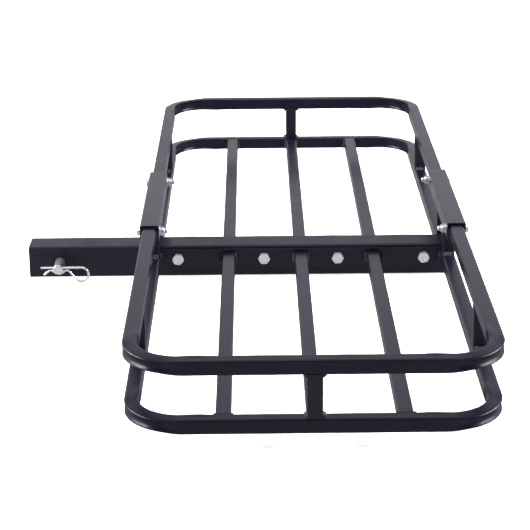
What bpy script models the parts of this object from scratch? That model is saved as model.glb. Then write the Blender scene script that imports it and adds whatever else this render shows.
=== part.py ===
"""Cargo carrier for a 2 inch hitch receiver.

A square drawbar runs along X, with its receiver end towards -X. The basket lies across it, with its long side
along Y. It comes as two U-shaped halves, left (-Y) and right (+Y), each welded up from square tube and bolted to
one side of the drawbar. Two channel sleeves join the ends of the upper rails over the drawbar.
The origin is on the drawbar's underside, in the middle of the basket. All sizes below are in metres.
"""
import bpy
import bmesh
from math import cos, pi, radians, sin
from mathutils import Matrix, Vector

MM = 0.001
GAP = 0.3 * MM                      # clearance left between touching pieces

# Basket
BASKET_LENGTH = 1346 * MM           # along Y, 53 inches
BASKET_WIDTH = 489 * MM             # along X, 19 1/4 inches
TUBE = 20 * MM                      # square tube of the whole basket
TUBE_WALL = 1.5 * MM
TUBE_CORNER = 2.5 * MM              # outer corner radius of the tube
LOWER_LEVEL = 21.5 * MM             # underside of the lower rails and slats
RING_HEIGHT = 100 * MM              # from there to the top of the upper rails
BEND_RADIUS = 65 * MM               # centre line of the rail corners
SLAT_PITCH = 115.5 * MM
CORNER_POST_Y = 440 * MM            # posts on the long sides, away from the drawbar
INNER_POST_Y = 43 * MM              # posts beside the drawbar

# Drawbar
DRAWBAR = 50.8 * MM                 # 2 inch square tube
DRAWBAR_WALL = 4.8 * MM             # 3/16 inch
DRAWBAR_CORNER = 4 * MM
DRAWBAR_FRONT = -436.5 * MM
DRAWBAR_REAR = 244.5 * MM
PIN_SETBACK = 50 * MM               # hitch pin hole, from the front end

# Mounting plates and the bolts that clamp them to the drawbar
PLATE_HEIGHT = 30 * MM
PLATE_THICK = 5 * MM
FRAME_BOLT_X = (-197 * MM, -59 * MM, 59 * MM, 197 * MM)
FRAME_BOLT_LENGTH = 75 * MM

# Sleeves over the upper rail joints
SLEEVE_LENGTH = 290 * MM
SLEEVE_WIDTH = 29 * MM
SLEEVE_HEIGHT = 25 * MM
SLEEVE_WALL = 2.4 * MM
SLEEVE_CORNER = 3 * MM
SLEEVE_LIFT = 1 * MM                # its underside stays this far above the rails
SLEEVE_BOLT_Y = 130 * MM
SLEEVE_BOLT_LENGTH = 42 * MM
RAIL_END_Y = 2 * MM                 # upper rail ends stop this far from the middle

# Fastener sizes: thread diameter, head across flats, head height, nut height, washer outer diameter and
# thickness, hole diameter
M10 = {"thread": 10 * MM, "flats": 17 * MM, "head": 6.4 * MM, "nut": 8.4 * MM,
       "washer": 17.5 * MM, "washer_thick": 2.5 * MM, "hole": 11 * MM}
M8 = {"thread": 8 * MM, "flats": 13 * MM, "head": 5.3 * MM, "nut": 6.8 * MM,
      "washer": 16 * MM, "washer_thick": 1.6 * MM, "hole": 9 * MM}

# Hitch pin and its clip
PIN_DIAMETER = 15.9 * MM            # 5/8 inch
PIN_HOLE = 16.6 * MM
PIN_REACH = 38 * MM                 # past the drawbar's left side
PIN_BEND_RADIUS = 19 * MM
PIN_HANDLE = 34 * MM                # straight part of the handle, after the bend
PIN_DROP = 14                       # degrees that the handle hangs below level
PIN_CHAMFER = 1.5 * MM
CLIP_WIRE = 3.5 * MM
CLIP_SETBACK = 11.5 * MM            # clip hole, from the pin's end
CLIP_HOLE = 4.3 * MM
CLIP_LOOP = 11.5 * MM               # radius
CLIP_HUMP = 6 * MM                  # radius of the waved leg's two humps
CLIP_FLANK = 3 * MM                 # straight part between the pin and a hump
CLIP_TAIL = 9 * MM

BASKET_Z = LOWER_LEVEL + TUBE / 2                       # centre of the lower rails, slats and frame bolts
UPPER_Z = LOWER_LEVEL + RING_HEIGHT - TUBE / 2          # centre of the upper rails
RAIL_X = BASKET_WIDTH / 2 - TUBE / 2                    # centre of the long rails
END_Y = BASKET_LENGTH / 2 - TUBE / 2                    # centre of the end rails
PLATE_FACE_Y = DRAWBAR / 2 + GAP + PLATE_THICK          # outer face of a mounting plate
PIN_X = DRAWBAR_FRONT + PIN_SETBACK
PIN_Z = DRAWBAR / 2
PIN_END_Y = -DRAWBAR / 2 - PIN_REACH
HALVES = {"left": -1, "right": 1}
SIDES = {"front": -1, "rear": 1}
ROUND_STEPS = 16                    # facets of a pin or a drilled hole
HEX_STEPS = 12                      # facets of a fastener: two to each flat
TUBE_SMOOTH = 15                    # degrees: a tube's bends are shaded smooth, its corners are not


def clear_scene():
    for old in list(bpy.data.objects):
        bpy.data.objects.remove(old, do_unlink=True)


def make_material(name, colour, roughness, metallic):
    material = bpy.data.materials.new(name)
    material.use_nodes = True
    shader = material.node_tree.nodes["Principled BSDF"]
    shader.inputs["Base Color"].default_value = (*colour, 1)
    shader.inputs["Roughness"].default_value = roughness
    shader.inputs["Metallic"].default_value = metallic
    material.diffuse_color = (*colour, 1)
    return material


def add_object(name, mesh, material, location=(0, 0, 0), turn=None):
    """An object with the given mesh; turn is a rotation matrix."""
    thing = bpy.data.objects.new(name, mesh)
    bpy.context.collection.objects.link(thing)
    if material is not None and not mesh.materials:
        mesh.materials.append(material)
    thing.rotation_mode = "QUATERNION"
    if turn is not None:
        thing.rotation_quaternion = turn.to_quaternion()
    thing.location = location
    return thing


def finish_mesh(name, shape, smooth_below=35):
    """Turn a bmesh into a mesh with its faces pointing out, smooth where it turns by less than some degrees."""
    bmesh.ops.recalc_face_normals(shape, faces=shape.faces)
    mesh = bpy.data.meshes.new(name)
    shape.to_mesh(mesh)
    shape.free()
    mesh.shade_smooth()
    mesh.set_sharp_from_angle(angle=radians(smooth_below))
    return mesh


def rounded_rectangle(width, height, radius, steps=2):
    """Outline of a square tube's section, anticlockwise from the lower right corner."""
    points = []
    for corner, (side_x, side_y) in enumerate(((1, -1), (1, 1), (-1, 1), (-1, -1))):
        for step in range(steps + 1):
            angle = -pi / 2 + corner * pi / 2 + step / steps * pi / 2
            points.append((side_x * (width / 2 - radius) + radius * cos(angle),
                           side_y * (height / 2 - radius) + radius * sin(angle)))
    return points


def circle(radius, steps):
    return [(radius * cos(2 * pi * k / steps), radius * sin(2 * pi * k / steps)) for k in range(steps)]


def loft(shape, rings, closed=False):
    """Skin rings of equal length, one after the other. A closed loft joins the last ring to the first."""
    rows = [[shape.verts.new(point) for point in ring] for ring in rings]
    count = len(rows[0])
    pairs = list(zip(rows, rows[1:]))
    if closed:
        pairs.append((rows[-1], rows[0]))
    for low, high in pairs:
        for k in range(count):
            shape.faces.new((low[k], low[(k + 1) % count], high[(k + 1) % count], high[k]))
    if not closed:
        shape.faces.new(list(reversed(rows[0])))
        shape.faces.new(rows[-1])


def ring_at(station, outline, ahead=0.0):
    """A section's outline at a station (origin, side, up), moved some way ahead along the route."""
    origin, side, up = station
    centre = origin + side.cross(up) * ahead
    return [centre + side * a + up * b for a, b in outline]


def sweep(shape, stations, outer, inner=None):
    """Carry a section along stations. With an inner outline it is a tube, open at both ends."""
    if inner is None:
        loft(shape, [ring_at(station, outer) for station in stations])
        return
    out_and_back = [ring_at(station, outer) for station in stations]
    out_and_back += [ring_at(station, inner) for station in reversed(stations)]
    loft(shape, out_and_back, closed=True)


def flat_route(start, heading, moves, arc_step):
    """Points and headings of a flat route. A move is a straight length, or an arc's (radius, degrees to turn)."""
    x, y = start
    angle = radians(heading)
    route = [((x, y), angle)]
    for move in moves:
        if not isinstance(move, tuple):
            x += move * cos(angle)
            y += move * sin(angle)
            route.append(((x, y), angle))
            continue
        radius, degrees = move
        side = 1 if degrees > 0 else -1
        centre_x = x - side * radius * sin(angle)
        centre_y = y + side * radius * cos(angle)
        count = max(2, round(abs(degrees) / arc_step))
        begin = angle
        for step in range(1, count + 1):
            angle = begin + radians(degrees) * step / count
            x = centre_x + side * radius * sin(angle)
            y = centre_y - side * radius * cos(angle)
            route.append(((x, y), angle))
    return route


def stations_on(route, origin, axis_x, axis_y):
    """Place a flat route in space: its x runs along axis_x and its y along axis_y."""
    normal = axis_x.cross(axis_y)
    stations = []
    for (x, y), angle in route:
        side = axis_y * cos(angle) - axis_x * sin(angle)
        stations.append((origin + axis_x * x + axis_y * y, side, normal))
    return stations


def drill(thing, name, point, axis, diameter, depth):
    """Cut a round hole through an object, centred on a point."""
    shape = bmesh.new()
    rings = [[Vector((x, y, z)) for x, y in circle(diameter / 2, ROUND_STEPS)] for z in (-depth / 2, depth / 2)]
    loft(shape, rings)
    cutter = add_object(name, finish_mesh(name, shape), None, point,
                        Vector((0, 0, 1)).rotation_difference(Vector(axis)).to_matrix())
    cutter.hide_render = True
    cutter.display_type = "WIRE"
    hole = thing.modifiers.new(name, "BOOLEAN")
    hole.operation = "DIFFERENCE"
    hole.solver = "EXACT"
    hole.object = cutter


def tube_outlines(width, wall, corner):
    inner = width - 2 * wall
    return rounded_rectangle(width, width, corner), rounded_rectangle(inner, inner, max(corner - wall, 0.8 * MM))


def straight_tube(name, length, width, wall, corner, material, location, direction):
    """An open-ended square tube that starts at a point and runs along a direction."""
    outer, inner = tube_outlines(width, wall, corner)
    shape = bmesh.new()
    stations = [(Vector((0, 0, z)), Vector((1, 0, 0)), Vector((0, 1, 0))) for z in (0, length)]
    sweep(shape, stations, outer, inner)
    turn = Vector((0, 0, 1)).rotation_difference(Vector(direction)).to_matrix()
    return add_object(name, finish_mesh(name, shape, TUBE_SMOOTH), material, location, turn)


def make_drawbar(paint):
    drawbar = straight_tube("drawbar", DRAWBAR_REAR - DRAWBAR_FRONT, DRAWBAR, DRAWBAR_WALL, DRAWBAR_CORNER,
                            paint, (DRAWBAR_FRONT, 0, DRAWBAR / 2), (1, 0, 0))
    across = DRAWBAR * 1.2
    drill(drawbar, "cut_drawbar_pin", (PIN_X, 0, PIN_Z), (0, 1, 0), PIN_HOLE, across)
    for number, x in enumerate(FRAME_BOLT_X, 1):
        drill(drawbar, f"cut_drawbar_{number}", (x, 0, BASKET_Z), (0, 1, 0), M10["hole"], across)


def make_plate(half, side, paint):
    """Flat bar between the inner faces of a half's two lower rails, against the drawbar."""
    length = 2 * (RAIL_X - TUBE / 2 - GAP)
    shape = bmesh.new()
    bmesh.ops.create_cube(shape, size=1)
    bmesh.ops.scale(shape, vec=(length, PLATE_THICK, PLATE_HEIGHT), verts=shape.verts)
    mesh = finish_mesh("plate", shape)
    middle_y = side * (PLATE_FACE_Y - PLATE_THICK / 2)
    plate = add_object(f"{half}_mounting_plate", mesh, paint, (0, middle_y, BASKET_Z))
    for number, x in enumerate(FRAME_BOLT_X, 1):
        drill(plate, f"cut_{half}_plate_{number}", (x, middle_y, BASKET_Z), (0, 1, 0), M10["hole"], PLATE_THICK * 2)


def make_rail(name, side, level, end_y, paint):
    """U-shaped rail of one half: two legs along Y and an end across, with round corners."""
    leg = END_Y - BEND_RADIUS - end_y
    across = 2 * (RAIL_X - BEND_RADIUS)
    moves = (leg, (BEND_RADIUS, 90), across, (BEND_RADIUS, 90), leg)
    route = flat_route((-RAIL_X, -end_y), -90, moves, arc_step=10)
    outer, inner = tube_outlines(TUBE, TUBE_WALL, TUBE_CORNER)
    shape = bmesh.new()
    stations = stations_on(route, Vector((0, 0, 0)), Vector((1, 0, 0)), Vector((0, -side, 0)))
    sweep(shape, stations, outer, inner)
    return add_object(name, finish_mesh(name, shape, TUBE_SMOOTH), paint, (0, 0, level))


def make_half(half, side, paint):
    """One half of the basket: lower and upper rail, slats, posts and mounting plate."""
    make_plate(half, side, paint)
    make_rail(f"{half}_lower_rail", side, BASKET_Z, DRAWBAR / 2 + GAP, paint)
    upper = make_rail(f"{half}_upper_rail", side, UPPER_Z, RAIL_END_Y, paint)
    for place, x_side in SIDES.items():
        drill(upper, f"cut_{half}_{place}_rail", (x_side * RAIL_X, side * SLEEVE_BOLT_Y, UPPER_Z), (1, 0, 0),
              M8["hole"], TUBE * 1.5)

    slat_start = PLATE_FACE_Y + GAP
    slat_length = END_Y - TUBE / 2 - GAP - slat_start
    for place, x in (("front", -SLAT_PITCH), ("middle", 0), ("rear", SLAT_PITCH)):
        straight_tube(f"{half}_{place}_slat", slat_length, TUBE, TUBE_WALL, TUBE_CORNER, paint,
                      (x, side * slat_start, BASKET_Z), (0, side, 0))

    post_spots = {"end": (0, END_Y)}
    for place, x_side in SIDES.items():
        post_spots[f"{place}_inner"] = (x_side * RAIL_X, INNER_POST_Y)
        post_spots[f"{place}_outer"] = (x_side * RAIL_X, CORNER_POST_Y)
    post_length = RING_HEIGHT - 2 * TUBE - 2 * GAP
    for place, (x, y) in post_spots.items():
        straight_tube(f"{half}_{place}_post", post_length, TUBE, TUBE_WALL, TUBE_CORNER, paint,
                      (x, side * y, LOWER_LEVEL + TUBE + GAP), (0, 0, 1))


def channel_outline(width, height, wall, corner, steps=3):
    """Section of a channel that opens downwards, its top face at height 0."""
    points = [(-width / 2, -height)]
    for side, first in ((-1, pi), (1, pi / 2)):
        for step in range(steps + 1):
            angle = first - step / steps * pi / 2
            points.append((side * (width / 2 - corner) + corner * cos(angle), -corner + corner * sin(angle)))
    points.append((width / 2, -height))
    inner_corner = corner - wall
    for side, first in ((1, 0), (-1, pi / 2)):
        for step in range(steps + 1):
            angle = first + step / steps * pi / 2
            if step == 0 and side == 1:
                points.append((width / 2 - wall, -height))
            points.append((side * (width / 2 - wall - inner_corner) + inner_corner * cos(angle),
                           -corner + inner_corner * sin(angle)))
    points.append((-width / 2 + wall, -height))
    return points


def make_sleeve(place, side, paint):
    """Channel over the ends of the two upper rails on one long side."""
    outline = channel_outline(SLEEVE_WIDTH, SLEEVE_HEIGHT, SLEEVE_WALL, SLEEVE_CORNER)
    rings = [[Vector((x, y, z)) for x, z in outline] for y in (-SLEEVE_LENGTH / 2, SLEEVE_LENGTH / 2)]
    shape = bmesh.new()
    loft(shape, rings)
    top = UPPER_Z + TUBE / 2 + SLEEVE_LIFT + SLEEVE_WALL
    name = f"{place}_sleeve"
    sleeve = add_object(name, finish_mesh(name, shape, TUBE_SMOOTH), paint, (side * RAIL_X, 0, top))
    for half, y_side in HALVES.items():
        drill(sleeve, f"cut_{place}_{half}_sleeve", (side * RAIL_X, y_side * SLEEVE_BOLT_Y, UPPER_Z), (1, 0, 0),
              M8["hole"], SLEEVE_WIDTH * 1.2)


def hexagon(flats, steps):
    """Points round a hexagon, at equal angles, with a corner at angle 0."""
    points = []
    for k in range(steps):
        angle = 2 * pi * k / steps
        off_flat = (angle % (pi / 3)) - pi / 6
        radius = flats / 2 / cos(off_flat)
        points.append((radius * cos(angle), radius * sin(angle)))
    return points


def bolt_mesh(size, length):
    """Hex bolt: the underside of its head is at height 0 and its thread runs down."""
    head, radius, flats = size["head"], size["thread"] / 2, size["flats"]
    chamfer = 0.8 * MM
    profile = ((circle(radius - chamfer, HEX_STEPS), -length), (circle(radius, HEX_STEPS), -length + chamfer),
               (circle(radius, HEX_STEPS), 0), (hexagon(flats, HEX_STEPS), 0),
               (hexagon(flats, HEX_STEPS), head - chamfer), (circle(flats * 0.47, HEX_STEPS), head))
    shape = bmesh.new()
    loft(shape, [[Vector((x, y, z)) for x, y in outline] for outline, z in profile])
    return finish_mesh("bolt", shape)


def nut_mesh(size):
    """Hex nut that stands on height 0, with a clearance bore."""
    height, flats = size["nut"], size["flats"]
    bore = circle(size["thread"] / 2 + GAP, HEX_STEPS)
    chamfer = 0.8 * MM
    profile = ((bore, 0), (circle(flats * 0.48, HEX_STEPS), 0), (hexagon(flats, HEX_STEPS), chamfer),
               (hexagon(flats, HEX_STEPS), height - chamfer), (circle(flats * 0.48, HEX_STEPS), height),
               (bore, height))
    shape = bmesh.new()
    loft(shape, [[Vector((x, y, z)) for x, y in outline] for outline, z in profile], closed=True)
    return finish_mesh("nut", shape)


def flat_washer_mesh(size):
    bore, rim = circle(size["hole"] / 2, ROUND_STEPS), circle(size["washer"] / 2, ROUND_STEPS)
    profile = ((bore, 0), (rim, 0), (rim, size["washer_thick"]), (bore, size["washer_thick"]))
    shape = bmesh.new()
    loft(shape, [[Vector((x, y, z)) for x, y in outline] for outline, z in profile], closed=True)
    return finish_mesh("flat_washer", shape)


def spring_washer_mesh(size):
    """Split ring, pressed flat by its nut, with the split at the top."""
    slit = radians(12)
    low, high = size["thread"] / 2 + GAP, size["washer"] / 2
    shape = bmesh.new()
    rings = []
    for step in range(ROUND_STEPS + 1):
        angle = slit / 2 + (2 * pi - slit) * step / ROUND_STEPS
        out = Vector((cos(angle), sin(angle), 0))
        rings.append([out * radius + Vector((0, 0, z)) for radius, z in
                      ((low, 0), (high, 0), (high, size["washer_thick"]), (low, size["washer_thick"]))])
    loft(shape, rings)
    return finish_mesh("spring_washer", shape)


def turn_towards(direction, start):
    """Rotation that stands a fastener's +Z along a direction, with angle 0 of its outlines towards another."""
    z, x = Vector(direction), Vector(start)
    y = z.cross(x)
    return Matrix((x, y, z)).transposed()


def make_frame_fasteners(zinc):
    """Bolts through both plates and the drawbar: heads on the left, washers and nuts on the right."""
    bolt, nut, washer = bolt_mesh(M10, FRAME_BOLT_LENGTH), nut_mesh(M10), spring_washer_mesh(M10)
    face = PLATE_FACE_Y + GAP
    outward, nut_way = turn_towards((0, -1, 0), (1, 0, 0)), turn_towards((0, 1, 0), (1, 0, 0))
    split_up = turn_towards((0, 1, 0), (0, 0, 1))
    for number, x in enumerate(FRAME_BOLT_X, 1):
        add_object(f"frame_bolt_{number}", bolt, zinc, (x, -face, BASKET_Z), outward)
        add_object(f"frame_spring_washer_{number}", washer, zinc, (x, face, BASKET_Z), split_up)
        nut_y = face + M10["washer_thick"] + GAP
        add_object(f"frame_nut_{number}", nut, zinc, (x, nut_y, BASKET_Z), nut_way)


def make_sleeve_fasteners(zinc):
    """Bolts through the sleeves and rails: heads outside, washers and nuts inside the basket."""
    bolt, nut, washer = bolt_mesh(M8, SLEEVE_BOLT_LENGTH), nut_mesh(M8), flat_washer_mesh(M8)
    for place, side in SIDES.items():
        outward, inward = turn_towards((side, 0, 0), (0, 0, 1)), turn_towards((-side, 0, 0), (0, 0, 1))
        for half, y_side in HALVES.items():
            y = y_side * SLEEVE_BOLT_Y
            outer_x = RAIL_X + SLEEVE_WIDTH / 2 + GAP
            inner_x = RAIL_X - SLEEVE_WIDTH / 2 - GAP
            nut_x = inner_x - M8["washer_thick"] - GAP
            name = f"{place}_{half}_sleeve"
            add_object(f"{name}_bolt", bolt, zinc, (side * outer_x, y, UPPER_Z), outward)
            add_object(f"{name}_washer", washer, zinc, (side * inner_x, y, UPPER_Z), inward)
            add_object(f"{name}_nut", nut, zinc, (side * nut_x, y, UPPER_Z), inward)


def make_hitch_pin(zinc):
    """Bent pin: it enters from the right, so its handle is on the right and its clip end on the left."""
    length = DRAWBAR / 2 + 1 * MM - PIN_END_Y
    moves = (length - PIN_CHAMFER, (PIN_BEND_RADIUS, -90), PIN_HANDLE)
    handle_way = Vector((cos(radians(PIN_DROP)), 0, -sin(radians(PIN_DROP))))
    route = flat_route((0, PIN_CHAMFER), 90, moves, arc_step=15)
    stations = stations_on(route, Vector((0, 0, 0)), handle_way, Vector((0, 1, 0)))
    body = circle(PIN_DIAMETER / 2, ROUND_STEPS)
    tip = circle(PIN_DIAMETER / 2 - PIN_CHAMFER, ROUND_STEPS)
    rings = [ring_at(station, body) for station in stations]
    rings.insert(0, ring_at(stations[0], tip, -PIN_CHAMFER))
    rings.append(ring_at(stations[-1], tip, PIN_CHAMFER))
    shape = bmesh.new()
    loft(shape, rings)
    pin = add_object("hitch_pin", finish_mesh("hitch_pin", shape), zinc, (PIN_X, PIN_END_Y, PIN_Z))
    drill(pin, "cut_pin_clip", (PIN_X, PIN_END_Y + CLIP_SETBACK, PIN_Z), (1, 0, 0), CLIP_HOLE, PIN_DIAMETER * 1.3)


def make_clip(zinc):
    """Spring clip of round wire: a straight leg through the pin and a waved leg that grips round below it."""
    hug = PIN_DIAMETER / 2 + CLIP_WIRE / 2 + GAP        # radius of the waved leg round the pin
    hug_half, rise, droop = 40, 52, 40                  # degrees
    start_x = -28 * MM
    # The straight leg ends where the loop below it leads back to the waved leg.
    hump_x = (hug + CLIP_HUMP) * sin(radians(hug_half)) + CLIP_FLANK * cos(radians(hug_half))
    hump_z = CLIP_FLANK * sin(radians(hug_half)) - (hug + CLIP_HUMP) * cos(radians(hug_half))
    rise_x = hump_x + CLIP_HUMP * sin(radians(rise))
    rise_z = hump_z + CLIP_HUMP * cos(radians(rise))
    loop_end_z = -CLIP_LOOP - CLIP_LOOP * cos(radians(rise))
    ramp = (rise_z - loop_end_z) / sin(radians(rise))
    loop_x = rise_x + ramp * cos(radians(rise)) + CLIP_LOOP * sin(radians(rise))
    moves = (loop_x - start_x, (CLIP_LOOP, -180 - rise), ramp, (CLIP_HUMP, rise + hug_half), CLIP_FLANK,
             (hug, -2 * hug_half), CLIP_FLANK, (CLIP_HUMP, hug_half + droop), CLIP_TAIL)
    route = flat_route((start_x, 0), 0, moves, arc_step=20)
    stations = stations_on(route, Vector((0, 0, 0)), Vector((1, 0, 0)), Vector((0, 0, 1)))
    shape = bmesh.new()
    sweep(shape, stations, circle(CLIP_WIRE / 2, 8))
    add_object("spring_clip", finish_mesh("spring_clip", shape), zinc, (PIN_X, PIN_END_Y + CLIP_SETBACK, PIN_Z))


def main():
    clear_scene()
    paint = make_material("black_powder_coat", (0.014, 0.014, 0.017), 0.42, 0.0)
    zinc = make_material("zinc_plate", (0.72, 0.74, 0.78), 0.28, 1.0)
    make_drawbar(paint)
    for half, side in HALVES.items():
        make_half(half, side, paint)
    for place, side in SIDES.items():
        make_sleeve(place, side, paint)
    make_frame_fasteners(zinc)
    make_sleeve_fasteners(zinc)
    make_hitch_pin(zinc)
    make_clip(zinc)


main()
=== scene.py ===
"""Looks of a hitch cargo carrier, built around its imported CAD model.

X runs along the drawbar, its receiver end towards -X. Y runs along the basket's long side, left being -Y.
Z is up. All sizes are in metres. Places come from the CAD nodes' boxes.
"""
from functools import partial
from math import cos, exp, hypot, pi, radians, sin, sqrt, tan
from random import Random

import bmesh
import bpy
from mathutils import Matrix, Vector


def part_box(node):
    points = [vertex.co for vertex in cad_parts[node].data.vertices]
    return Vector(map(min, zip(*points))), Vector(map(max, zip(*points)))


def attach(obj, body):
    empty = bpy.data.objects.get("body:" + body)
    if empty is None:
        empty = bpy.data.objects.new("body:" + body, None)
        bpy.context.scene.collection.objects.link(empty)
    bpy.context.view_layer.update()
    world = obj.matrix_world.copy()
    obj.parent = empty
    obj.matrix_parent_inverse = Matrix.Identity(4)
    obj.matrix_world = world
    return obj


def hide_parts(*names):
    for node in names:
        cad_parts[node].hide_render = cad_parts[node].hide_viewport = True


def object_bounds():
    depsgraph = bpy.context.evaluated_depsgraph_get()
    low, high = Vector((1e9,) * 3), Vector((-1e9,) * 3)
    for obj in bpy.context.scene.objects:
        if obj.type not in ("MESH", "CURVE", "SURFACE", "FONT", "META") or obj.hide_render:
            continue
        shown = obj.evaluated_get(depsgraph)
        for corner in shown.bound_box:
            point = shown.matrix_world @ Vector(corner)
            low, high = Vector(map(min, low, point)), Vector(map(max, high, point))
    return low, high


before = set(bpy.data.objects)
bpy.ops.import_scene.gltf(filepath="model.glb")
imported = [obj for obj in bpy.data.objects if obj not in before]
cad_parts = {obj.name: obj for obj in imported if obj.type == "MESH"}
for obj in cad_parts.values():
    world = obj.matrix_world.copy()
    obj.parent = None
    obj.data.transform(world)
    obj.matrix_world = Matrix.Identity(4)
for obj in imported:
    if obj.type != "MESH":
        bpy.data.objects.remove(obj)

CAD_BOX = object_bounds()
MM = 0.001
X, Y, Z = Vector((1, 0, 0)), Vector((0, 1, 0)), Vector((0, 0, 1))
HALVES = {"left": -1, "right": 1}
SIDES = {"front": -1, "rear": 1}

# Square tube of the basket
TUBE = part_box("left_middle_slat")[1].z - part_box("left_middle_slat")[0].z
TUBE_WALL = 1.5 * MM
TUBE_CORNER = 2.5 * MM
CUT_EDGE = 0.35 * MM                # softened edge of a cut tube end or plate
CAD_GAP = 0.3 * MM                  # clearance that the CAD model leaves at welded joints
SEAT = CAD_GAP + 0.2 * MM           # a welded piece reaches this much further than its CAD node

# Rail corners: the outer wall sinks in between its edges, the top and bottom lean in towards it, and the
# inner wall is hollowed, squeezed where the bend begins and raised a little before that. Starts, places,
# ramps, spreads and the reach are shares of the bend's length, and less than 0 is before it begins.
BEND_RADIUS = 65 * MM
BEND_STEP = 3                       # degrees
BEND_REACH = 0.45                   # how far past its ends a bend still shapes the tube
APPROACH_STEPS = 12                 # stations on a straight where its bend's shape fades out
GROOVE_START, GROOVE_RAMP, GROOVE_DEPTH, GROOVE_RIM = -0.06, 0.32, 3.8 * MM, 8.8 * MM
EDGE_DROP = 2.1 * MM
INNER_START, INNER_RAMP, INNER_DEPTH, INNER_RIM = -0.30, 0.09, 2.8 * MM, 5.5 * MM
SQUEEZE_PLACE, SQUEEZE_SPREAD, SQUEEZE_DEPTH = 0.08, 0.13, 1.4 * MM
BULGE_PLACE, BULGE_SPREAD, BULGE_HEIGHT = -0.2, 0.14, 0.7 * MM

# Drawbar, and the bars that the slats are welded to
DRAWBAR_WALL = 4.8 * MM
DRAWBAR_CORNER = 4 * MM
PIN_HOLE = 16.6 * MM
PLATE_EDGE = 0.7 * MM               # rounding of the flat bars' edges

# Sleeves over the rail joints
SLEEVE_WALL = 2.4 * MM
SLEEVE_CORNER = 3 * MM

# Fasteners: thread diameter and pitch, head across flats, head and nut height, washer
M10 = {"thread": 10 * MM, "pitch": 1.5 * MM, "flats": 17 * MM, "head": 6.4 * MM, "nut": 8.4 * MM,
       "washer": 17.5 * MM, "washer_thick": 2.5 * MM}
M8 = {"thread": 8 * MM, "pitch": 1.25 * MM, "flats": 13 * MM, "head": 5.3 * MM, "nut": 6.8 * MM,
      "washer": 16 * MM, "washer_thick": 1.6 * MM}
FRAME_THREAD, SLEEVE_THREAD = 26 * MM, 18 * MM      # lengths of thread on the two bolts
THREAD_TIP = 1.1 * MM               # chamfer at a bolt's tip
HEX_RIM = 0.475                     # radius of a hexagon's chamfer circle, as a share of its flats
HEX_CHAMFER = 28                    # degrees
ROUND_STEPS = 48

# Hitch pin and clip
PIN_DIAMETER = 15.9 * MM
PIN_BEND_RADIUS = 19 * MM
PIN_HANDLE = 34 * MM
PIN_DROP = 14                       # degrees that the handle leans down
PIN_CHAMFER = 1.5 * MM
PIN_PAST_BAR = 1 * MM               # straight stretch between the drawbar and the bend
CLIP_WIRE = 3.5 * MM
CLIP_SETBACK = 11.5 * MM            # from the pin's end to the clip's hole
CLIP_HOLE = 4.3 * MM
CLIP_LEG = 28 * MM                  # the straight leg's reach past the pin's axis
CLIP_LOOP, CLIP_HUMP = 11.5 * MM, 6 * MM        # radii
CLIP_FLANK, CLIP_TAIL = 3 * MM, 9 * MM          # straight parts either side of a hump
CLIP_HUG, CLIP_RISE, CLIP_DROOP = 40, 52, 40    # degrees: half the hug, the ramp's and the tail's slope
CLIP_END_SOFT = 0.5 * MM

# Welds
WELD_LEG = 5.2 * MM
WELD_RIPPLE = 1.9 * MM
WELD_SAMPLES = 5                    # rings for each ripple
WELD_ARC = 7                        # faces across a bead
WELD_LAG = 0.35                     # how far a ripple's middle trails, as a share of the ripple
WELD_INSET, POST_WELD_INSET = 0.4 * MM, 0.9 * MM    # a bead ends this far inside its piece
WELD_ROOT, WELD_SINK = 0.3 * MM, 0.12 * MM          # how deep the root and the face sit in both walls

# Paint: its colour in dark and light clouds, on draw lines, in specks and on worn edges, how strongly it
# shines on the tubes and on the pieces whose coat came out duller or brighter, and its orange peel
COAT_DARK, COAT_LIGHT = (0.0024, 0.0025, 0.0095, 1), (0.0036, 0.0037, 0.0113, 1)
COAT_LINE, COAT_SPECK = (0.0060, 0.0060, 0.0115, 1), (0.012, 0.012, 0.015, 1)
COAT_WORN = (0.020, 0.020, 0.024, 1)
TUBE_SHINE, PLATE_SHINE, SLEEVE_SHINE = 0.21, 0.15, 0.28
TUBE_PEEL, WELD_PEEL = 0.35, 0.6

# Zinc: tint, and how deep its pits and handling marks look
PLATE_TINT, PLATE_RELIEF = (0.80, 0.82, 0.86), 0.16
WIRE_TINT, WIRE_RELIEF = (0.84, 0.85, 0.87), 0.2
ZINC_PIT = (0.42, 0.42, 0.44, 1)

# Studio: brightness at heights from -1 (straight down) to 1 (straight up)
ROOM = ((-1.0, 0.45), (-0.30, 0.70), (0.10, 0.36), (0.50, 0.16), (1.0, 0.22))
SWEEP = ((-1.0, 0.30), (-0.36, 0.30), (-0.26, 0.58), (0.10, 0.85), (0.27, 0.86), (0.36, 0.75), (0.50, 0.50),
         (1.0, 0.16))
SKY_TINT = (1.0, 1.0, 1.05, 1)
FLOOR_HALF, FLOOR_GLOW = 30, 0.75

# Camera
CAMERA_PLACE = (-0.0729, -2.6264, 0.9394)
CAMERA_PAN, CAMERA_TILT, CAMERA_ROLL = 0.338, -19.519, -0.448       # degrees
CAMERA_LENS = 116.39
SENSOR = 36


# ---------------------------------------------------------------------------------------------- materials

def new_material(name):
    material = bpy.data.materials.new(name)
    material.use_nodes = True
    tree = material.node_tree
    return material, tree, tree.nodes["Principled BSDF"]


def add_node(tree, kind, inputs=None, **settings):
    """A shader node with its settings, and its inputs given as values or as sockets to link from."""
    node = tree.nodes.new(kind)
    for key, value in settings.items():
        setattr(node, key, value)
    for key, value in (inputs or {}).items():
        if isinstance(value, bpy.types.NodeSocket):
            tree.links.new(value, node.inputs[key])
        else:
            node.inputs[key].default_value = value
    return node


def noise(tree, vector, scale, detail=3.0, roughness=0.5):
    inputs = {"Vector": vector, "Scale": scale, "Detail": detail, "Roughness": roughness}
    return add_node(tree, "ShaderNodeTexNoise", inputs).outputs["Fac"]


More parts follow.
